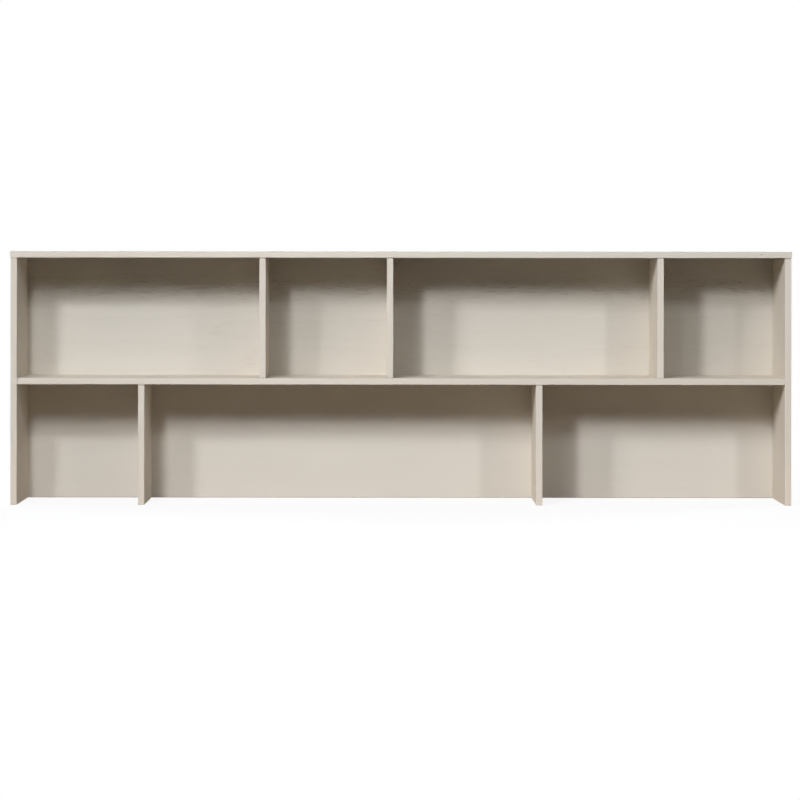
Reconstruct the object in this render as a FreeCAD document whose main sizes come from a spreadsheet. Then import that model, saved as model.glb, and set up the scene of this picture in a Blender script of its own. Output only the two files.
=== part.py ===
import FreeCAD, Part
import os
import Sketcher

# Hutch: an open shelf unit with four bays above a long shelf and three below it, made to stand on a dresser.
# Millimetres. X runs to the right, Y to the back, Z up. The origin is below the middle, on the ground.

doc = FreeCAD.newDocument("Hutch")
sheet = doc.addObject("Spreadsheet::Sheet", "Sizes")

drivingSizes = {
    # The whole unit and its bays
    "total_width": 2200,
    "total_depth": 230,
    "lower_bay_height": 339,
    "upper_bay_height": 339,
    "narrow_bay": 341,
    "wide_bay": 682,
    # Boards
    "board": 18,
    "top_side_overhang": 1.5,
    "top_front_overhang": 2,
    "arris": 0.8,
    # Back panels in their grooves
    "back_board": 9,
    "back_lip": 10,
    "groove_depth": 5,
    "groove_play": 0.15,
    "groove_end_gap": 0.5,
    "back_floor_gap": 0.5,
    # Rows of fixings, measured from the front edge and from the back panel
    "fixing_inset": 37,
    "bore_play": 0.1,
    "bore_end_gap": 0.5,
    # Dowels
    "dowel_diameter": 8,
    "dowel_length": 30,
    "dowel_face_depth": 12,
    "locating_bore_diameter": 8,
    "locating_bore_depth": 20,
    # Cams
    "cam_diameter": 15,
    "cam_length": 12.5,
    "cam_setback": 24,
    "cam_wall": 3,
    "cam_recess_length": 8,
    "cam_recess_width": 2,
    "cam_recess_depth": 2.5,
    # Bolts that the cams hold
    "bolt_diameter": 5,
    "bolt_thread_length": 11,
    "bolt_head_diameter": 7,
    "bolt_head_length": 3,
    "bolt_bore_diameter": 7.5,
    # Caps over the cams
    "cap_diameter": 17,
    "cap_thickness": 0.8,
    "cap_plug_width": 1.7,
    "cap_plug_length": 2,
}

for row, (alias, size) in enumerate(drivingSizes.items(), start=1):
    sheet.set(f"A{row}", alias)
    sheet.set(f"B{row}", str(size))
    sheet.setAlias(f"B{row}", alias)
doc.recompute()

# Sizes worked out from the driving ones
innerWidth = "(Sizes.total_width - 2 * Sizes.top_side_overhang - 2 * Sizes.board)"
carcassDepth = "(Sizes.total_depth - Sizes.top_front_overhang)"
bayDepth = f"({carcassDepth} - Sizes.back_lip - Sizes.back_board)"
sideHeight = "(Sizes.lower_bay_height + Sizes.board + Sizes.upper_bay_height)"
shelfTop = "(Sizes.lower_bay_height + Sizes.board)"
frontPlane = "(Sizes.top_front_overhang - Sizes.total_depth / 2)"
shelfMiddle = "(Sizes.lower_bay_height + Sizes.board / 2)"

# The rows of fixings, as distances behind the front edge: dowels in two rows, cams midway between them
frontRow = "Sizes.fixing_inset"
rearRow = f"({bayDepth} - Sizes.fixing_inset)"
camRow = f"({bayDepth} / 2)"
rowSpread = f"({bayDepth} - 2 * Sizes.fixing_inset)"

# Places across the width, from the middle
upperDividers = {
    "upper_left_divider": f"(Sizes.wide_bay + Sizes.board / 2 - {innerWidth} / 2)",
    "upper_centre_divider": f"(Sizes.wide_bay + Sizes.narrow_bay + 1.5 * Sizes.board - {innerWidth} / 2)",
    "upper_right_divider": f"({innerWidth} / 2 - Sizes.narrow_bay - Sizes.board / 2)",
}
lowerDividers = {
    "lower_left_divider": f"(Sizes.narrow_bay + Sizes.board / 2 - {innerWidth} / 2)",
    "lower_right_divider": f"({innerWidth} / 2 - Sizes.wide_bay - Sizes.board / 2)",
}
sides = {"left": -1, "right": 1}

# Bores, with their clearance
dowelBore = "(Sizes.dowel_diameter + 2 * Sizes.bore_play)"
dowelSeat = "(Sizes.dowel_face_depth - Sizes.bore_end_gap)"
dowelEndDepth = f"(Sizes.dowel_length - {dowelSeat} + Sizes.bore_end_gap)"
camBore = "(Sizes.cam_diameter + 2 * Sizes.bore_play)"
camBoreDepth = "(Sizes.cam_length + Sizes.bore_end_gap)"
headSeat = "(Sizes.cam_diameter / 2 - Sizes.cam_wall)"
headRoom = "(Sizes.bolt_head_diameter / 2 + Sizes.bore_play)"
shankRoom = "(Sizes.bolt_diameter / 2 + Sizes.bore_play)"
threadBore = "(Sizes.bolt_diameter + 2 * Sizes.bore_play)"
threadBoreDepth = "(Sizes.bolt_thread_length + Sizes.bore_end_gap)"
sideMiddle = f"({innerWidth} / 2 + Sizes.board / 2)"
camFromMiddle = f"({innerWidth} / 2 - Sizes.cam_setback)"
camHeight = f"({sideHeight} - Sizes.cam_setback)"

# Grooves for the back panels, as distances behind the front edge
grooveFront = f"({bayDepth} - Sizes.groove_play)"
grooveRear = f"({bayDepth} + Sizes.back_board + Sizes.groove_play)"
tongue = "(Sizes.groove_depth - Sizes.groove_end_gap)"


def number(expression):
    return float(sheet.evalExpression(expression))


def titled(label):
    return label.title().replace("_", "")


def newBody(label):
    body = doc.addObject("PartDesign::Body", label)
    body.Label = label
    return body


def originPart(body, role):
    return next(part for part in body.Origin.OriginFeatures if part.Role == role)


def newSketch(body, name, plane, lift="0"):
    """A sketch on one of the body's own planes, moved along its normal by lift."""
    sketch = body.newObject("Sketcher::SketchObject", name)
    sketch.AttachmentSupport = [(originPart(body, plane), "")]
    sketch.MapMode = "FlatFace"
    if lift != "0":
        sketch.setExpression("AttachmentOffset.Base.z", lift)
    return sketch


def pin(sketch, item, point, across, up):
    """Ties a point to the sketch's origin by two places; a place of "0" puts it on the axis."""
    for kind, axis, place in (("DistanceX", -2, across), ("DistanceY", -1, up)):
        if place == "0":
            sketch.addConstraint(Sketcher.Constraint("PointOnObject", item, point, axis))
            continue
        tie = sketch.addConstraint(Sketcher.Constraint(kind, -1, 1, item, point, number(place)))
        sketch.setExpression(f"Constraints[{tie}]", place)


def drawRectangle(sketch, left, low, right, high):
    places = ((left, low), (right, low), (right, high), (left, high))
    corners = [FreeCAD.Vector(number(across), number(up), 0) for across, up in places]
    lines = []
    for start, end in zip(corners, corners[1:] + corners[:1]):
        lines.append(sketch.addGeometry(Part.LineSegment(start, end), False))
    for line, following in zip(lines, lines[1:] + lines[:1]):
        sketch.addConstraint(Sketcher.Constraint("Coincident", line, 2, following, 1))
    for line, direction in zip(lines, ("Horizontal", "Vertical") * 2):
        sketch.addConstraint(Sketcher.Constraint(direction, line))
    pin(sketch, lines[0], 1, left, low)
    pin(sketch, lines[2], 1, right, high)


def drawCircle(sketch, across, up, diameter):
    centre = FreeCAD.Vector(number(across), number(up), 0)
    circle = Part.Circle(centre, FreeCAD.Vector(0, 0, 1), number(diameter) / 2)
    item = sketch.addGeometry(circle, False)
    pin(sketch, item, 3, across, up)
    tie = sketch.addConstraint(Sketcher.Constraint("Diameter", item, number(diameter)))
    sketch.setExpression(f"Constraints[{tie}]", diameter)


def pad(body, sketch, length, reverse=False):
    feature = body.newObject("PartDesign::Pad", f"{sketch.Name}Pad")
    feature.Profile = sketch
    feature.setExpression("Length", length)
    feature.Reversed = reverse
    doc.recompute()
    return feature


def pocket(body, sketch, depth, reverse=False):
    feature = body.newObject("PartDesign::Pocket", f"{sketch.Name}Pocket")
    feature.Profile = sketch
    feature.setExpression("Length", depth)
    feature.Reversed = reverse
    doc.recompute()
    return feature


def bore(body, name, plane, lift, centres, diameter, depth, reverse=False):
    """Blind bores of one size, all drilled from one plane."""
    sketch = newSketch(body, name, plane, lift)
    for across, up in centres:
        drawCircle(sketch, across, up, diameter)
    pocket(body, sketch, depth, reverse)


def groove(body, name, plane, lift, corners, reverse=False):
    """A groove for a back panel; corners are its left, low, right and high places."""
    sketch = newSketch(body, name, plane, lift)
    drawRectangle(sketch, *corners)
    pocket(body, sketch, "Sizes.groove_depth", reverse)


def ease(body, base, chosen):
    """Takes off the sharp arris of each edge of the board that the test chooses."""
    names = []
    for place, edge in enumerate(base.Shape.Edges, start=1):
        if chosen(edge.BoundBox, base.Shape.BoundBox):
            names.append(f"Edge{place}")
    feature = body.newObject("PartDesign::Chamfer", f"{body.Name}Arris")
    feature.Base = (base, names)
    feature.setExpression("Size", "Sizes.arris")
    doc.recompute()


def anyEdge(edge, board):
    return True


def frontEdge(edge, board):
    return edge.YMax < board.Center.y and edge.YLength < board.YLength / 2


def frontOrRearEdge(edge, board):
    return edge.YLength < board.YLength / 2


def frontOrBottomEdge(edge, board):
    return frontEdge(edge, board) or edge.ZMax < board.Center.z


def place(body, across="0", back=frontPlane, up="0"):
    for axis, expression in (("x", across), ("y", back), ("z", up)):
        body.setExpression(f"Placement.Base.{axis}", expression)


def turn(body, x, y):
    """Turns a body so that its own X and Y axes point the ways given."""
    body.Placement.Rotation = FreeCAD.Rotation(x, y, x.cross(y), "XYZ")


def rows(across):
    return [(across, frontRow), (across, rearRow)]


# Top panel: lies over the sides; its own z = 0 is its underside
def makeTopPanel():
    body = newBody("top_panel")
    outline = newSketch(body, "TopOutline", "XY_Plane")
    halfWidth = "Sizes.total_width / 2"
    drawRectangle(outline, f"-{halfWidth}", "-Sizes.top_front_overhang", halfWidth, carcassDepth)
    ease(body, pad(body, outline, "Sizes.board"), anyEdge)
    ends = f"({innerWidth} / 2 + Sizes.groove_depth)"
    groove(body, "TopGroove", "XY_Plane", "0", (f"-{ends}", grooveFront, ends, grooveRear), True)
    stands = list(upperDividers.values()) + [f"-{sideMiddle}", sideMiddle]
    dowels = [centre for across in stands for centre in rows(across)]
    bore(body, "TopDowelBores", "XY_Plane", "0", dowels, dowelBore, "Sizes.dowel_face_depth", True)
    threads = [(f"-{sideMiddle}", camRow), (sideMiddle, camRow)]
    bore(body, "TopThreadBores", "XY_Plane", "0", threads, threadBore, threadBoreDepth, True)
    place(body, up=sideHeight)
    return body


# Side panel: its own x = 0 is its inner face; hand is -1 for the left one and 1 for the right one
def makeSidePanel(side, hand):
    body = newBody(f"{side}_side_panel")
    left = hand < 0
    title = side.capitalize()
    outline = newSketch(body, f"{title}SideOutline", "YZ_Plane")
    drawRectangle(outline, "0", "0", carcassDepth, sideHeight)
    ease(body, pad(body, outline, "Sizes.board", left), anyEdge)
    corners = (grooveFront, "0", grooveRear, sideHeight)
    groove(body, f"{title}SideGroove", "YZ_Plane", "0", corners, not left)

    # In the inner face: the cam at the top, and the bolt and dowels of the shelf
    bore(body, f"{title}SideCamBore", "YZ_Plane", "0", [(camRow, camHeight)], camBore, camBoreDepth, not left)
    thread = [(camRow, shelfMiddle)]
    bore(body, f"{title}SideThreadBore", "YZ_Plane", "0", thread, threadBore, threadBoreDepth, not left)
    dowels = [(frontRow, shelfMiddle), (rearRow, shelfMiddle)]
    faceDepth = "Sizes.dowel_face_depth"
    bore(body, f"{title}SideFaceBores", "YZ_Plane", "0", dowels, dowelBore, faceDepth, not left)

    # In the ends: the bolt and dowels of the top, and the bore that places the unit on what it stands on
    middle = f"{hand} * Sizes.board / 2"
    boltBore = "Sizes.bolt_bore_diameter"
    bolt = [(middle, camRow)]
    bore(body, f"{title}SideBoltBore", "XY_Plane", sideHeight, bolt, boltBore, "Sizes.cam_setback")
    bore(body, f"{title}SideEndBores", "XY_Plane", sideHeight, rows(middle), dowelBore, dowelEndDepth)
    bore(body, f"{title}SideLocatingBore", "XY_Plane", "0", [(middle, camRow)],
         "Sizes.locating_bore_diameter", "Sizes.locating_bore_depth", True)
    place(body, across=f"{hand} * {innerWidth} / 2")
    return body


# Middle shelf: its own z = 0 is its underside
def makeMiddleShelf():
    body = newBody("middle_shelf")
    half = f"{innerWidth} / 2"
    outline = newSketch(body, "ShelfOutline", "XY_Plane")
    drawRectangle(outline, f"-{half}", "0", half, carcassDepth)
    ease(body, pad(body, outline, "Sizes.board"), frontOrRearEdge)
    corners = (f"-{half}", grooveFront, half, grooveRear)
    groove(body, "ShelfUpperGroove", "XY_Plane", "Sizes.board", corners)
    groove(body, "ShelfLowerGroove", "XY_Plane", "0", corners, True)
    standing = [centre for across in upperDividers.values() for centre in rows(across)]
    hanging = [centre for across in lowerDividers.values() for centre in rows(across)]
    faceDepth = "Sizes.dowel_face_depth"
    bore(body, "ShelfUpperDowelBores", "XY_Plane", "Sizes.board", standing, dowelBore, faceDepth)
    bore(body, "ShelfLowerDowelBores", "XY_Plane", "0", hanging, dowelBore, faceDepth, True)
    cams = [(f"-{camFromMiddle}", camRow), (camFromMiddle, camRow)]
    bore(body, "ShelfCamBores", "XY_Plane", "0", cams, camBore, camBoreDepth, True)
    halfBoard = "Sizes.board / 2"
    for side, hand in sides.items():
        title = f"Shelf{side.capitalize()}"
        end = f"{hand} * {half}"
        left = hand < 0
        bore(body, f"{title}BoltBore", "YZ_Plane", end, [(camRow, halfBoard)], "Sizes.bolt_bore_diameter",
             "Sizes.cam_setback", left)
        dowels = [(frontRow, halfBoard), (rearRow, halfBoard)]
        bore(body, f"{title}EndBores", "YZ_Plane", end, dowels, dowelBore, dowelEndDepth, left)
    place(body, up="Sizes.lower_bay_height")
    return body


# Divider: its own x = 0 is the middle of its thickness, and z = 0 its lower end
def makeDivider(label, across, up, tall, standing):
    body = newBody(label)
    title = titled(label)
    outline = newSketch(body, f"{title}Outline", "XY_Plane")
    drawRectangle(outline, "-Sizes.board / 2", "0", "Sizes.board / 2", bayDepth)
    ease(body, pad(body, outline, tall), frontEdge if standing else frontOrBottomEdge)
    bore(body, f"{title}UpperBores", "XY_Plane", tall, rows("0"), dowelBore, dowelEndDepth)
    if standing:
        bore(body, f"{title}LowerBores", "XY_Plane", "0", rows("0"), dowelBore, dowelEndDepth, True)
    place(body, across=across, up=up)
    return body


# Back panel: its own z = 0 is the plane of the shelf or the ground that it is measured from
def makeBackPanel(label, low, high, up):
    body = newBody(label)
    half = f"({innerWidth} / 2 + {tongue})"
    outline = newSketch(body, f"{titled(label)}Outline", "XZ_Plane")
    drawRectangle(outline, f"-{half}", low, half, high)
    pad(body, outline, "Sizes.back_board", True)
    place(body, back=f"{frontPlane} + {bayDepth}", up=up)
    return body


# Dowels at both rows; standing ones come again at the other end of an upper divider
def makeDowels(label, across, up, standing=False):
    body = newBody(label)
    dowel = body.newObject("PartDesign::AdditivePrism", f"{titled(label)}Prism")
    dowel.Polygon = 12
    dowel.setExpression("Circumradius", "Sizes.dowel_diameter / 2")
    dowel.setExpression("Height", "Sizes.dowel_length")
    pattern = body.newObject("PartDesign::LinearPattern", f"{titled(label)}Rows")
    pattern.Originals = [dowel]
    pattern.Direction = (originPart(body, "Y_Axis"), [""])
    pattern.setExpression("Length", rowSpread)
    pattern.Occurrences = 2
    if standing:
        pattern.Direction2 = (originPart(body, "Z_Axis"), [""])
        pattern.setExpression("Length2", f"Sizes.upper_bay_height - Sizes.dowel_length + 2 * {dowelSeat}")
        pattern.Occurrences2 = 2
    body.Tip = pattern
    doc.recompute()
    place(body, across, f"{frontPlane} + {frontRow}", up)
    return body


# Cam: its own z = 0 is its drive face, z points out of the board and x at the joint
def makeCam(label):
    body = newBody(label)
    title = titled(label)
    outline = newSketch(body, f"{title}Outline", "XY_Plane")
    drawCircle(outline, "0", "0", "Sizes.cam_diameter")
    pad(body, outline, "Sizes.cam_length", True)

    # The chamber takes the bolt's head, and the slot its shank; both are open at the inner end
    chamber = newSketch(body, f"{title}Chamber", "XY_Plane", "-Sizes.cam_length")
    drawRectangle(chamber, f"-{headSeat}", f"-{headRoom}", headSeat, headRoom)
    pocket(body, chamber, f"Sizes.cam_length - Sizes.board / 2 + {headRoom}", True)
    slot = newSketch(body, f"{title}Slot", "XY_Plane", "-Sizes.cam_length")
    drawRectangle(slot, "0", f"-{shankRoom}", "Sizes.cam_diameter", shankRoom)
    pocket(body, slot, f"Sizes.cam_length - Sizes.board / 2 + {shankRoom}", True)

    # The drive is a cross in the face that shows
    longHalf = "Sizes.cam_recess_length / 2"
    shortHalf = "Sizes.cam_recess_width / 2"
    for name, across, up in (("Along", longHalf, shortHalf), ("Across", shortHalf, longHalf)):
        arm = newSketch(body, f"{title}Cross{name}", "XY_Plane")
        drawRectangle(arm, f"-{across}", f"-{up}", across, up)
        pocket(body, arm, "Sizes.cam_recess_depth")
    return body


# Cam bolt: its own z = 0 is the joint, with its thread below and its head above
def makeCamBolt(label):
    body = newBody(label)
    title = titled(label)
    shaft = newSketch(body, f"{title}Shaft", "XY_Plane", "-Sizes.bolt_thread_length")
    drawCircle(shaft, "0", "0", "Sizes.bolt_diameter")
    reach = f"(Sizes.cam_setback - {headSeat} + Sizes.bore_play)"
    pad(body, shaft, f"Sizes.bolt_thread_length + {reach}")
    head = newSketch(body, f"{title}Head", "XY_Plane", reach)
    drawCircle(head, "0", "0", "Sizes.bolt_head_diameter")
    pad(body, head, "Sizes.bolt_head_length")
    return body


# Cap: a disc on the board over a cam, with a plug that enters the cam's cross
def makeCap(label):
    body = newBody(label)
    title = titled(label)
    outline = newSketch(body, f"{title}Outline", "XY_Plane")
    drawCircle(outline, "0", "0", "Sizes.cap_diameter")
    pad(body, outline, "Sizes.cap_thickness")
    plug = newSketch(body, f"{title}Plug", "XY_Plane")
    half = "Sizes.cap_plug_width / 2"
    drawRectangle(plug, f"-{half}", f"-{half}", half, half)
    pad(body, plug, "Sizes.cap_plug_length", True)
    return body


def bothSides(label, fitting):
    """The left fitting and its mirror image on the right, as one sub-part of two solids."""
    mirrored = doc.addObject("Part::Mirroring", f"{titled(label)}Right")
    mirrored.Source = fitting
    mirrored.Normal = right
    pair = doc.addObject("Part::Compound", f"{titled(label)}Pair")
    pair.Label = label
    pair.Links = [fitting, mirrored]
    return pair


right = FreeCAD.Vector(1, 0, 0)
back = FreeCAD.Vector(0, 1, 0)
high = FreeCAD.Vector(0, 0, 1)
subParts = [makeTopPanel(), makeMiddleShelf()]

# Dividers with their dowels
for label, across in upperDividers.items():
    subParts.append(makeDivider(label, across, shelfTop, "Sizes.upper_bay_height", True))
    subParts.append(makeDowels(f"{label}_dowels", across, f"{shelfTop} - {dowelSeat}", True))
for label, across in lowerDividers.items():
    subParts.append(makeDivider(label, across, "0", "Sizes.lower_bay_height", False))
    hung = f"Sizes.lower_bay_height + {dowelSeat} - Sizes.dowel_length"
    subParts.append(makeDowels(f"{label}_dowels", across, hung))

# Sides with the dowels of the top, upright, and of the shelf, level
for side, hand in sides.items():
    subParts.append(makeSidePanel(side, hand))
    upright = f"{sideHeight} + {dowelSeat} - Sizes.dowel_length"
    subParts.append(makeDowels(f"{side}_top_dowels", f"{hand} * {sideMiddle}", upright))
    inward = f"{hand} * ({innerWidth} / 2 + {dowelSeat} - Sizes.dowel_length)"
    level = makeDowels(f"{side}_shelf_dowels", inward, shelfMiddle)
    turn(level, -high * hand, back)
    subParts.append(level)

upperEdge = f"Sizes.upper_bay_height + {tongue}"
lowerEdge = f"Sizes.lower_bay_height + {tongue}"
subParts.append(makeBackPanel("upper_back_panel", f"-{tongue}", upperEdge, shelfTop))
subParts.append(makeBackPanel("lower_back_panel", "Sizes.back_floor_gap", lowerEdge, "0"))

# Cams with the place of their middle and the ways that they face, and bolts with the place of their joint
innerFace = f"-{innerWidth} / 2"
cams = f"{frontPlane} + {camRow}"
fittings = {
    "top_cams": (makeCam, innerFace, camHeight, high, -back),
    "top_cam_caps": (makeCap, innerFace, camHeight, high, -back),
    "top_cam_bolts": (makeCamBolt, f"-{sideMiddle}", sideHeight, -right, back),
    "shelf_cams": (makeCam, f"-{camFromMiddle}", "Sizes.lower_bay_height", -right, back),
    "shelf_cam_bolts": (makeCamBolt, innerFace, shelfMiddle, -high, back),
}
for label, (make, across, up, x, y) in fittings.items():
    fitting = make(f"left_{label}")
    place(fitting, across, cams, up)
    turn(fitting, x, y)
    subParts.append(bothSides(label, fitting))

doc.recompute()

for item in doc.Objects:
    if "Invalid" in item.State or "Error" in item.State:
        raise RuntimeError(f"{item.Label} failed: {item.State}")
    if item.isDerivedFrom("PartDesign::Pocket"):
        if item.Shape.Volume >= item.BaseFeature.Shape.Volume:
            raise RuntimeError(f"{item.Label} cuts nothing")

os.makedirs("parts", exist_ok=True)
for subPart in subParts:
    if subPart.Shape.isNull() or not subPart.Shape.isValid():
        raise RuntimeError(f"{subPart.Label} has no valid shape")
    subPart.Shape.exportStep(f"parts/{subPart.Label}.step")
    print(f"{subPart.Label}: {len(subPart.Shape.Solids)} solids, {subPart.Shape.Volume:.0f} cubic mm")
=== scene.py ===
import math

import bmesh
import bpy
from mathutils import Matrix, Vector


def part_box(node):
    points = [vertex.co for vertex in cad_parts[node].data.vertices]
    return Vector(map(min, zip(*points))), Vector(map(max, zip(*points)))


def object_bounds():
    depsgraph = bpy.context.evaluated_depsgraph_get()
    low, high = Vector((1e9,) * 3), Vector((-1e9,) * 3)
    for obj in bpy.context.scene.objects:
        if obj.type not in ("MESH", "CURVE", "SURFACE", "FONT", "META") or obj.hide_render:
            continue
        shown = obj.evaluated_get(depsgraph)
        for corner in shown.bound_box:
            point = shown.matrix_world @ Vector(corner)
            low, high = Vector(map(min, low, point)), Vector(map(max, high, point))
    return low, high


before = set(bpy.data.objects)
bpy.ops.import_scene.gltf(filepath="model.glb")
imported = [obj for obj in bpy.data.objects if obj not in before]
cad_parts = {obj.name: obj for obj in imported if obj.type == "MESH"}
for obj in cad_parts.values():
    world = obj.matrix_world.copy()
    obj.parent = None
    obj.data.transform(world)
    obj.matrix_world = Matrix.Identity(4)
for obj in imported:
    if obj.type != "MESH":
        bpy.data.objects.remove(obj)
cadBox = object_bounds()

print("frame loaded:", len(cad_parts), "pieces")


# Shader maths: a Wire holds one output socket, and an expression on Wires adds the nodes

class Wire:
    def __init__(self, tree, socket=None):
        self.tree = tree
        self.socket = socket

    def node(self, kind, settings=None, values=None, output=0):
        made = self.tree.nodes.new("ShaderNode" + kind)
        for name, setting in (settings or {}).items():
            setattr(made, name, setting)
        for name, value in (values or {}).items():
            if isinstance(value, Wire):
                self.tree.links.new(value.socket, made.inputs[name])
            else:
                made.inputs[name].default_value = value
        return Wire(self.tree, made.outputs[output]) if made.outputs else None

    def other(self, output):
        return Wire(self.tree, self.socket.node.outputs[output])

    def maths(self, operation, *values):
        return self.node("Math", {"operation": operation}, dict(enumerate((self, *values))))

    def __add__(self, value):
        return self.maths("ADD", value)

    def __sub__(self, value):
        return self.maths("SUBTRACT", value)

    def __mul__(self, value):
        return self.maths("MULTIPLY", value)

    def __truediv__(self, value):
        return self.maths("DIVIDE", value)

    def __rsub__(self, value):
        return self * -1.0 + value

    def smooth(self, low, high):  # 0 below low, 1 above high
        return self.node("MapRange", {"interpolation_type": "SMOOTHSTEP"}, {0: self, 1: low, 2: high})

    def hump(self, rise, fall):  # 0, then 1 once it has risen, then 0 again
        return self.smooth(*rise) * (1 - self.smooth(*fall))

    def bell(self, middle, reach):  # 1 at the middle, fading on both sides
        offMiddle = (self - middle) / reach
        return (offMiddle * offMiddle * -1.0).maths("EXPONENT")

    def point(self, across=0.0, depth=0.0):
        return self.node("CombineXYZ", None, {0: self, 1: across, 2: depth})

    def parts(self):
        split = self.node("SeparateXYZ", None, {0: self})
        return [split.other(i) for i in range(3)]

    def length(self):
        return self.node("VectorMath", {"operation": "LENGTH"}, {0: self}, 1)

    def noise(self, detail=2.0, output=0):
        return self.node("TexNoise", None, {"Vector": self, "Scale": 1.0, "Detail": detail}, output)

    def chance(self, output=0):
        return self.node("TexWhiteNoise", {"noise_dimensions": "1D"}, {"W": self}, output)

    def between(self, first, second):  # from one colour to the other
        return self.node("Mix", {"data_type": "RGBA"}, {0: self, 6: first, 7: second}, 2)


def tone(red, green, blue):  # a screen colour, made linear
    return tuple(((c / 255 + 0.055) / 1.055) ** 2.4 for c in (red, green, blue)) + (1.0,)


def startMaterial(name):  # gives the place on the object in millimetres
    material = bpy.data.materials.new(name)
    material.use_nodes = True
    material.node_tree.nodes.clear()
    place = Wire(material.node_tree).node("TexCoord", output="Object")
    return material, place.node("VectorMath", {"operation": "MULTIPLY"}, {0: place, 1: (1000, 1000, 1000)})


def finishMaterial(wire, height, values):  # height in millimetres
    normal = wire.node("Bump", None, {"Height": height, "Distance": 0.001, "Strength": 1.0})
    shader = wire.node("BsdfPrincipled", None, {**values, "Normal": normal})
    wire.node("OutputMaterial", None, {"Surface": shader})


def dress(nodeName, material):
    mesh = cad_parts[nodeName].data
    mesh.materials.clear()
    mesh.materials.append(material)


def face(nodeName, axis, end):  # where a CAD node starts (0) or ends (1) on an axis, in millimetres
    return round(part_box(nodeName)[end]["xyz".index(axis)] * 1000, 2)


# Pine, stained a pale warm grey and brushed along the grain, sizes in millimetres
# A noise is given as its length along the grain, its width across it and its detail

solidPine = {
    "earlyWood": tone(217, 207, 192),
    "lateWood": tone(213, 203, 187),
    "fibreStain": tone(197, 187, 172),
    "edgeHighlight": tone(233, 222, 207),
    "knotWood": tone(140, 120, 98),
    # painted shade for the seams, in the tone of the shadow in the bays
    "seamShade": tone(96, 82, 66),
    "specular": 0.28,
    "roughness": 0.6,  # of the smoothest wood, before fibres and strokes add theirs
    "fibreRoughness": 0.12,
    "strokeRoughness": 0.1,
    # Each board is glued from staves, which come from different places in the log
    "staveWidth": 76.0,
    "staveSeed": 7.0,
    "staveShift": 3000.0,
    "seedShift": 531.0,
    # The heart of the tree runs beside the board and wanders, which draws arches on the board's face
    "heartDepth": 70.0,
    "heartSpread": 60.0,
    "heartWander": (30.0, 34.0),  # across the board and into it
    "wanderLength": 620.0,
    "wanderStep": 3.1,
    "wanderDetail": 1.5,
    "ripple": (75.0, 11.0, 3.0),
    "rippleSize": 5.0,
    # Rings, whose rises and falls are shares of a year
    "ringSpacing": 5.4,
    "softestRing": 0.4,
    "lateRise": (0.25, 0.85),
    "lateFall": (0.92, 1.0),
    # Brushing opens the end of each soft ring in short strokes
    "stroke": (30.0, 3.4, 2.0),
    "strokeRange": (0.5, 0.62),
    "strokeRise": (0.74, 0.86),
    "strokeFall": (0.9, 1.0),
    "strokeDepth": 0.16,
    "strokeShade": 0.3,
    # Fine fibres, and broader streaks that took the stain
    "fibre": (42.0, 1 / 1.9, 2.0),
    "fibreRange": (0.5, 0.85),
    "fibreRelief": 0.04,
    "fibreShade": 0.22,
    "streak": (170.0, 3.1, 2.0),
    "streakRange": (0.45, 0.8),
    "streakShade": 0.09,
    # The front edge is painted paler, a painted highlight on the lit front faces, with painted shade toward
    # the ground, and it shows less of the brush
    "edgeDepth": (0.48, 0.8),
    "edgeSmoothing": 0.6,
    "edgeGroundShadeRange": (0.2, 0.9),  # shares of the unit's height
    # A knot pushes the rings apart and lies a little deeper
    "knotStretch": 0.5,
    "knotFalloff": -0.08,
    "knotSwell": 1.4,
    "knotRim": (0.6, 1.15),  # shares of the knot's size
    "knotDent": 0.1,
}
pineVeneer = {
    **solidPine,
    "earlyWood": tone(216, 209, 197),
    "lateWood": tone(214, 207, 195),
    "staveWidth": 113.0,
    "ringSpacing": 7.6,
    "strokeDepth": 0.22,
    # Where a band is livelier, brushed flecks follow the ripple
    "fleckWave": 7.0,
    "fleckSize": (38.0, 3.2, 9.0),  # along the grain, across it and into the panel
    "fleckRange": (0.58, 0.65),
    "fleckSpread": 0.12,  # how many flecks the rest of the panel has
    "bandStrokes": 0.35,
    "bandDepth": (1.0, 8.0),  # where the band fades behind the panel's front
    "bandLoss": 0.6,
}
smoothVeneer = {
    **pineVeneer,
    "earlyWood": tone(222, 215, 203),
    "lateWood": tone(221, 214, 202),
    "strokeDepth": 0.05,
    "strokeShade": 0.08,
    "fibreRelief": 0.02,
    "fibreShade": 0.06,
    "streakShade": 0.03,
}


def grainNoise(wood, length, width, detail):  # drawn out along the grain
    along, across, depth = wood
    return (along / length).point(across / width, depth / width).noise(detail)


def ringRadius(wood, stave, chance, ripple, board):
    finish = board["finish"]
    along, across, depth = wood
    wander = (along / finish["wanderLength"]).point(stave * finish["wanderStep"] + board["seed"])
    acrossWander, depthWander = wander.noise(finish["wanderDetail"], "Color").parts()[:2]
    middle = (stave + (0.5 - board["seed"])) * finish["staveWidth"]
    sideways = across - middle - (chance - 0.5) * finish["heartSpread"]
    sideways = sideways - (acrossWander - 0.5) * finish["heartWander"][0]
    beneath = depth + finish["heartDepth"] + (depthWander - 0.5) * finish["heartWander"][1]
    return sideways.point(beneath).length() + (ripple - 0.5) * finish["rippleSize"]


def growKnots(radius, along, across, depth, board):  # gives the rings round the knots and a mark on them
    finish = board["finish"]
    mark = 0.0
    for knotAlong, knotAcross, knotDepth, size in board["knots"]:
        offAlong = (along - knotAlong) * finish["knotStretch"]
        reach = offAlong.point(across - knotAcross, depth - knotDepth).length() / size
        swell = (reach * reach * finish["knotFalloff"]).maths("EXPONENT")
        radius = radius + swell * (size * finish["knotSwell"])
        mark = (1 - reach.smooth(*finish["knotRim"])).maths("MAXIMUM", mark)
    return radius, mark


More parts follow.
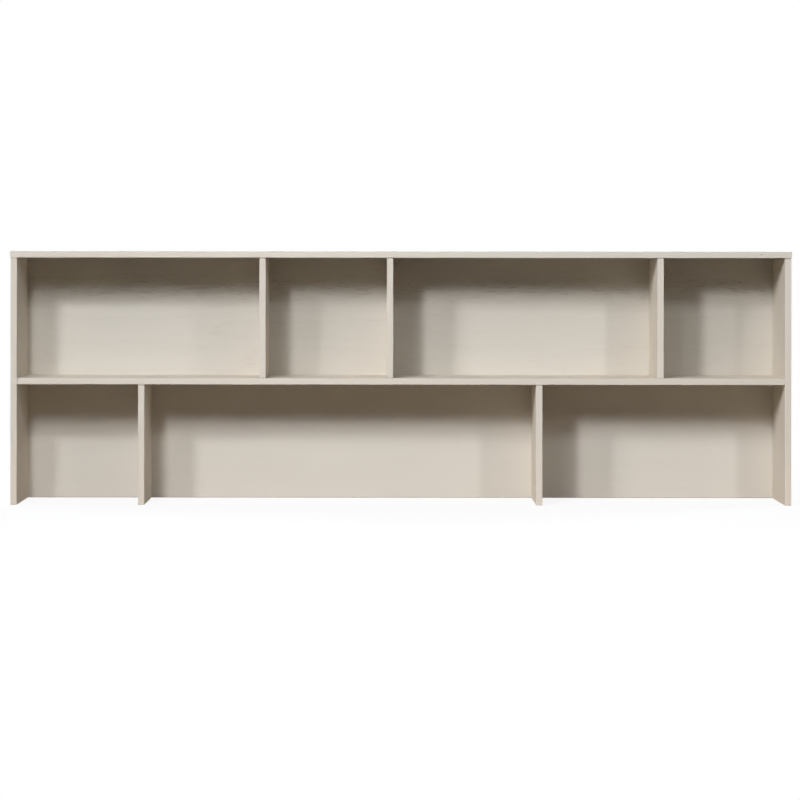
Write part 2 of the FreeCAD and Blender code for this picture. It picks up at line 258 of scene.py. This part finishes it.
def livelyStrokes(stroke, wood, ripple, front, board):
    finish, lively = board["finish"], board["lively"]
    along, across, depth = wood
    fade = (depth - front).smooth(*finish["bandDepth"]) * finish["bandLoss"]
    band = across.bell(lively["middle"], lively["reach"]) * lively["gain"] * (1 - fade)
    wavy = across + (ripple - 0.5) * finish["fleckWave"]
    fleckLength, fleckWidth, fleckDepth = finish["fleckSize"]
    fleck = (along / fleckLength).point(wavy / fleckWidth, depth / fleckDepth).noise()
    fleck = fleck.smooth(*finish["fleckRange"])
    return stroke * (band * finish["bandStrokes"] + 1.0) + fleck * (band + finish["fleckSpread"])


def pineMaterial(boardName, board):
    finish = board["finish"]
    material, place = startMaterial(boardName + "_pine")
    axes = dict(zip("xyz", place.parts()))
    along, across, depth = (axes[letter] for letter in board["grain"])
    front = face(boardName, "y", 0)

    stave = (across / finish["staveWidth"] + board["seed"]).maths("FLOOR")
    chances = (stave + board["seed"] * finish["staveSeed"]).chance("Color").parts()
    shifted = along + chances[0] * finish["staveShift"] + board["seed"] * finish["seedShift"]
    wood = (shifted, across, depth)
    ripple = grainNoise(wood, *finish["ripple"])
    fibre = grainNoise(wood, *finish["fibre"])
    streak = grainNoise(wood, *finish["streak"])

    radius = ringRadius(wood, stave, chances[1], ripple, board)
    radius, knotMark = growKnots(radius, along, across, depth, board)
    year = radius / finish["ringSpacing"]
    season = year.maths("FRACT")
    hardness = year.maths("FLOOR").chance() * (1 - finish["softestRing"]) + finish["softestRing"]
    lateWood = season.hump(finish["lateRise"], finish["lateFall"]) * hardness

    broken = grainNoise(wood, *finish["stroke"]).smooth(*finish["strokeRange"])
    stroke = season.hump(finish["strokeRise"], finish["strokeFall"]) * broken * hardness
    if board["lively"]:
        stroke = livelyStrokes(stroke, wood, ripple, front, board)
    if board["edgeHighlightShare"]:
        edge = 1 - (axes["y"] - front).smooth(*finish["edgeDepth"])
        stroke = stroke * (1 - edge * finish["edgeSmoothing"])

    colour = lateWood.between(finish["earlyWood"], finish["lateWood"])
    shade = fibre.smooth(*finish["fibreRange"]) * finish["fibreShade"]
    # the board's shade is painted shade over the whole board
    shade = shade + streak.smooth(*finish["streakRange"]) * finish["streakShade"] + board["boardShade"]
    colour = (shade + stroke * finish["strokeShade"]).between(colour, finish["fibreStain"])
    # painted highlight: the front edge is made paler, as the lit front faces look
    if board["edgeHighlightShare"]:
        # painted shade: the pale front edge darkens toward the ground
        lowness = 1 - (axes["z"] / unitHeight).smooth(*finish["edgeGroundShadeRange"])
        share = (1 - lowness * board["edgeGroundShade"]) * board["edgeHighlightShare"]
        colour = (edge * share).between(colour, finish["edgeHighlight"])
    # painted shade along each seam where boards meet, and along the lower back's bottom rim
    for axis, middle, reach, dark in board["seams"]:
        colour = (axes[axis].bell(middle, reach) * dark).between(colour, finish["seamShade"])
    height = fibre * finish["fibreRelief"] - stroke * finish["strokeDepth"]
    if board["knots"]:
        colour = (knotMark * board["knotShade"]).between(colour, finish["knotWood"])
        height = height - knotMark * finish["knotDent"]
    roughness = fibre * finish["fibreRoughness"] + stroke * finish["strokeRoughness"] + finish["roughness"]
    finishMaterial(place, height, {
        "Base Color": colour,
        "Roughness": roughness,
        "Specular IOR Level": finish["specular"],
    })
    return material


unitHeight = cadBox[1][2] * 1000
underTop = face("top_panel", "z", 0)
underShelf = face("middle_shelf", "z", 0)
onShelf = face("middle_shelf", "z", 1)
shelfEnd = face("middle_shelf", "x", 0)
topFront = face("top_panel", "y", 0)
backFront = face("upper_back_panel", "y", 0)
lowerRim = face("lower_back_panel", "z", 0)

plainBoard = {
    "finish": solidPine,
    "grain": "xyz",  # the axes along the grain, across it and into the board
    "boardShade": 0.0,  # how much darker the whole board is: painted shade for boards whose faces lie in more shade
    "edgeHighlightShare": 0.5,  # how strong the painted highlight on the front edge is
    "edgeGroundShade": 0.0,  # how much of that painted highlight gives way to painted shade at the ground
    "seams": [],  # painted shade where boards meet and along the lower back's bottom rim: its axis, place, reach and how dark it is
    "knots": [],  # each one's place along the grain, across it and into the board, and its size
    "knotShade": 1.0,
    "lively": None,  # a band along the grain with more brushing: its middle, reach and how much more
}
uprightBoard = {**plainBoard, "grain": "zyx"}
standingBoard = {**uprightBoard, "seams": [("z", onShelf, 2.3, 0.3), ("z", underTop, 2.4, 0.35)]}
hangingBoard = {**uprightBoard, "edgeHighlightShare": 0.4, "seams": [("z", underShelf, 2.6, 0.6)]}
backPanel = {**plainBoard, "finish": pineVeneer, "grain": "xzy", "edgeHighlightShare": 0.0}
boards = {  # a board's seed is its place in the log
    "top_panel": {
        **plainBoard, "seed": 0.13, "edgeHighlightShare": 0.8,
        "knots": [(1014.0, topFront, 706.5, 1.6)], "knotShade": 0.5,
    },
    "middle_shelf": {**plainBoard, "seed": 0.61, "seams": [("x", shelfEnd, 4.0, 0.35)]},
    "left_side_panel": {
        **uprightBoard, "seed": 0.27, "boardShade": 0.1, "edgeHighlightShare": 0.52, "edgeGroundShade": 0.35,
        "seams": [("z", underTop, 3.0, 0.2)],
    },
    "right_side_panel": {
        **uprightBoard, "seed": 0.83, "boardShade": 0.4, "edgeHighlightShare": 0.92, "edgeGroundShade": 0.4,
        "seams": [("z", underTop - 1.0, 2.0, 0.4)],
    },
    "upper_left_divider": {**standingBoard, "seed": 0.41, "boardShade": 0.4, "edgeHighlightShare": 0.6},
    "upper_centre_divider": {**standingBoard, "seed": 0.55, "edgeHighlightShare": 0.45},
    "upper_right_divider": {**standingBoard, "seed": 0.71, "boardShade": 0.2, "edgeHighlightShare": 0.85},
    "lower_left_divider": {**hangingBoard, "seed": 0.36},
    "lower_right_divider": {**hangingBoard, "seed": 0.92},
    "upper_back_panel": {
        **backPanel, "seed": 0.05, "lively": {"middle": 612.0, "reach": 34.0, "gain": 2.4},
        "knots": [
            (26.0, 622.0, backFront, 2.2),
            (787.0, 651.0, backFront, 2.2),
            (985.0, 627.0, backFront, 2.2),
        ],
        "knotShade": 0.4,
    },
    "lower_back_panel": {
        **backPanel, "finish": smoothVeneer, "seed": 0.48, "seams": [("z", lowerRim, 1.2, 0.9)],
        "lively": {"middle": 262.0, "reach": 30.0, "gain": 0.5},
    },
}
for boardName, board in boards.items():
    dress(boardName, pineMaterial(boardName, board))
print("boards stained:", len(boards))


# Fittings between the boards

fittings = {
    "cams": {
        "name": "zinc", "colour": tone(176, 176, 174), "metal": 1.0,
        "roughness": 0.32, "speckle": 0.7, "relief": 0.02,
    },
    "bolts": {
        "name": "bolt", "colour": tone(190, 190, 187), "metal": 1.0,
        "roughness": 0.2, "speckle": 0.3, "relief": 0.01,
    },
    "caps": {
        "name": "cap", "colour": tone(212, 205, 195), "metal": 0.0,
        "roughness": 0.42, "speckle": 0.25, "relief": 0.008,
    },
    "dowels": {
        "name": "beech", "colour": tone(206, 170, 128), "metal": 0.0,
        "roughness": 0.54, "speckle": 1.1, "relief": 0.05,
    },
}
fittingWear = {
    "patchSize": 9,  # in speckles
    "patchShade": 0.5,
    "speckleShade": 0.25,
    "darkest": 0.8,
    "patchRoughness": 0.16,
}


def fittingMaterial(name, colour, metal, roughness, speckle, relief):
    material, place = startMaterial(name)
    x, y, z = place.parts()
    patchSize = speckle * fittingWear["patchSize"]
    speckles = (x / speckle).point(y / speckle, z / speckle).noise(3.0)
    patches = (x / patchSize).point(y / patchSize, z / patchSize).noise()
    dark = tuple(c * fittingWear["darkest"] for c in colour[:3]) + (1.0,)
    shade = patches * fittingWear["patchShade"] + speckles * fittingWear["speckleShade"]
    finishMaterial(place, speckles * relief, {
        "Base Color": shade.between(colour, dark),
        "Roughness": patches * fittingWear["patchRoughness"] + roughness,
        "Metallic": metal,
    })
    return material


for kind, fitting in fittings.items():
    material = fittingMaterial(**fitting)
    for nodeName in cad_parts:
        if nodeName.endswith(kind):
            dress(nodeName, material)
print("fittings finished:", len(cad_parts) - len(boards))


# Floor and world: the object is lit as on a plain matt floor, and the camera sees white

studio = {
    "floorSize": 20.0,
    "nearFloor": tone(174, 159, 142),
    "farFloor": tone(30, 28, 26),
    "nearReach": 450.0,  # how far from the middle the floor throws light back at the object, in millimetres
    "nearEdge": (0.85, 1.15),
    "floorWhite": tone(247, 247, 247),
    "floorGlow": 0.88,  # how much of the white is the floor's own near the object: the rest is for shadows
    "shadowReach": (1500.0, 700.0),  # across and in depth, in millimetres from the middle
    "shadowEdge": (0.8, 1.7),  # shares of that reach, at which the floor turns quite white
    "worldLight": 0.0,
}
white = (1.0, 1.0, 1.0, 1.0)


def seenDirectly(wire):  # rays that show the background rather than light the object
    path = wire.node("LightPath")
    mirrored = path.other("Is Camera Ray").maths("MAXIMUM", path.other("Is Glossy Ray"))
    return mirrored.maths("MAXIMUM", path.other("Is Transmission Ray"))


def floorMaterial():
    material, place = startMaterial("plain_floor")
    across, deep = place.parts()[:2]
    nearMatt = place.node("BsdfDiffuse", None, {"Color": studio["nearFloor"]})
    farMatt = place.node("BsdfDiffuse", None, {"Color": studio["farFloor"]})
    far = (deep.maths("ABSOLUTE") / studio["nearReach"]).smooth(*studio["nearEdge"])
    matt = place.node("MixShader", None, {0: far, 1: nearMatt, 2: farMatt})

    shadowWidth, shadowDepth = studio["shadowReach"]
    away = (across / shadowWidth).point(deep / shadowDepth).length().smooth(*studio["shadowEdge"])
    ownWhite = away * (1 - studio["floorGlow"]) + studio["floorGlow"]
    whiteMatt = place.node("BsdfDiffuse", None, {"Color": studio["floorWhite"]})
    glow = place.node("Emission", None, {"Color": white, "Strength": 1.0})
    seen = place.node("MixShader", None, {0: ownWhite, 1: whiteMatt, 2: glow})
    both = place.node("MixShader", None, {0: seenDirectly(place), 1: matt, 2: seen})
    place.node("OutputMaterial", None, {"Surface": both})
    return material


floorShape = bmesh.new()
bmesh.ops.create_grid(floorShape, x_segments=1, y_segments=1, size=studio["floorSize"])
floorMesh = bpy.data.meshes.new("floor")
floorShape.to_mesh(floorMesh)
floorShape.free()
floorMesh.materials.append(floorMaterial())
floor = bpy.data.objects.new("floor", floorMesh)
bpy.context.scene.collection.objects.link(floor)

world = bpy.data.worlds.new("studio")
world.use_nodes = True
world.node_tree.nodes.clear()
bpy.context.scene.world = world
sky = Wire(world.node_tree)
skyLight = sky.node("Background", None, {"Color": white, "Strength": studio["worldLight"]})
skyWhite = sky.node("Background", None, {"Color": white, "Strength": 1.0})
skyMix = sky.node("MixShader", None, {0: seenDirectly(sky), 1: skyLight, 2: skyWhite})
sky.node("OutputWorld", None, {"Surface": skyMix})
print("floor and world made")


# Lamps: place, what it is aimed at, width, height, watts and how far it spreads, in degrees

lampColour = (0.98, 1.01, 1.06)
lamps = {
    "key": ((-1.25, -3.1, 2.1), (2.2, 0.0, -2.3), 0.45, 0.35, 23.3, 100),
    "keyLow": ((-1.3, -3.1, 1.8), (0.8, 0.0, -3.0), 0.25, 0.35, 8.5, 100),
    "keyHigh": ((-1.1, -4.0, 3.2), (-4.2, 0.0, -3.0), 0.4, 0.6, 24.7, 100),
    "keyFar": ((-1.1, -5.0, 3.9), (5.2, 0.0, -1.4), 0.5, 0.8, 18.5, 60),
    "side": ((-2.0, -2.4, 2.2), (6.9, 0.0, -1.4), 0.2, 0.8, 18.5, 90),
    "sideNear": ((-1.85, -1.9, 1.8), (-1.1, 0.0, 0.5), 0.3, 0.3, 6.6, 100),
    "right": ((2.5, -3.1, 2.6), (-0.3, 0.0, -1.1), 0.3, 0.5, 7.7, 90),
    "rightFar": ((3.4, -4.3, 2.5), (-0.6, 0.0, -0.2), 0.3, 0.6, 4.3, 120),
    "rightSoft": ((1.5, -4.0, 3.0), (0.8, 0.0, 0.3), 1.5, 1.5, 2.8, 180),
    "overLeft": ((-1.6, -3.0, 4.5), (-0.6, 0.0, 0.35), 1.0, 1.0, 4.6, 180),
    "overRight": ((1.8, -3.0, 4.5), (0.8, 0.0, 0.35), 1.0, 1.0, 3.7, 180),
    "behind": ((0.0, 3.6, 2.4), (0.0, 0.0, 0.35), 3.0, 1.6, 125.0, 180),
    "leftEnd": ((-4.2, 1.4, 1.4), (-1.1, 0.0, 0.35), 1.2, 1.2, 95.0, 180),
    "rightEnd": ((4.2, 1.4, 1.4), (1.1, 0.0, 0.35), 1.2, 1.2, 95.0, 180),
}
for lampName, (place, aim, width, height, watts, spread) in lamps.items():
    light = bpy.data.lights.new(lampName, "AREA")
    light.shape = "RECTANGLE"
    light.size = width
    light.size_y = height
    light.energy = watts
    light.color = lampColour
    light.spread = math.radians(spread)
    lamp = bpy.data.objects.new(lampName, light)
    lamp.location = place
    lamp.rotation_euler = (Vector(aim) - lamp.location).to_track_quat("-Z", "Y").to_euler()
    bpy.context.scene.collection.objects.link(lamp)
print("lamps placed:", len(lamps))


# Camera, level and square to the front, with its lens shifted as the photograph is framed

view = {
    "place": (-0.0591, -6.623, 0.673),
    "roll": -0.001,  # in radians
    "lens": 104.14,  # in millimetres
    "shiftAcross": 0.025,  # in picture widths
    "shiftUp": -0.1675,
}
lens = bpy.data.cameras.new("camera")
lens.lens = view["lens"]
lens.shift_x = view["shiftAcross"]
lens.shift_y = view["shiftUp"]
camera = bpy.data.objects.new("camera", lens)
camera.location = view["place"]
camera.rotation_euler = (math.pi / 2, view["roll"], 0.0)
bpy.context.scene.collection.objects.link(camera)
bpy.context.scene.camera = camera
bpy.context.scene.view_settings.view_transform = "Standard"
print("camera placed")
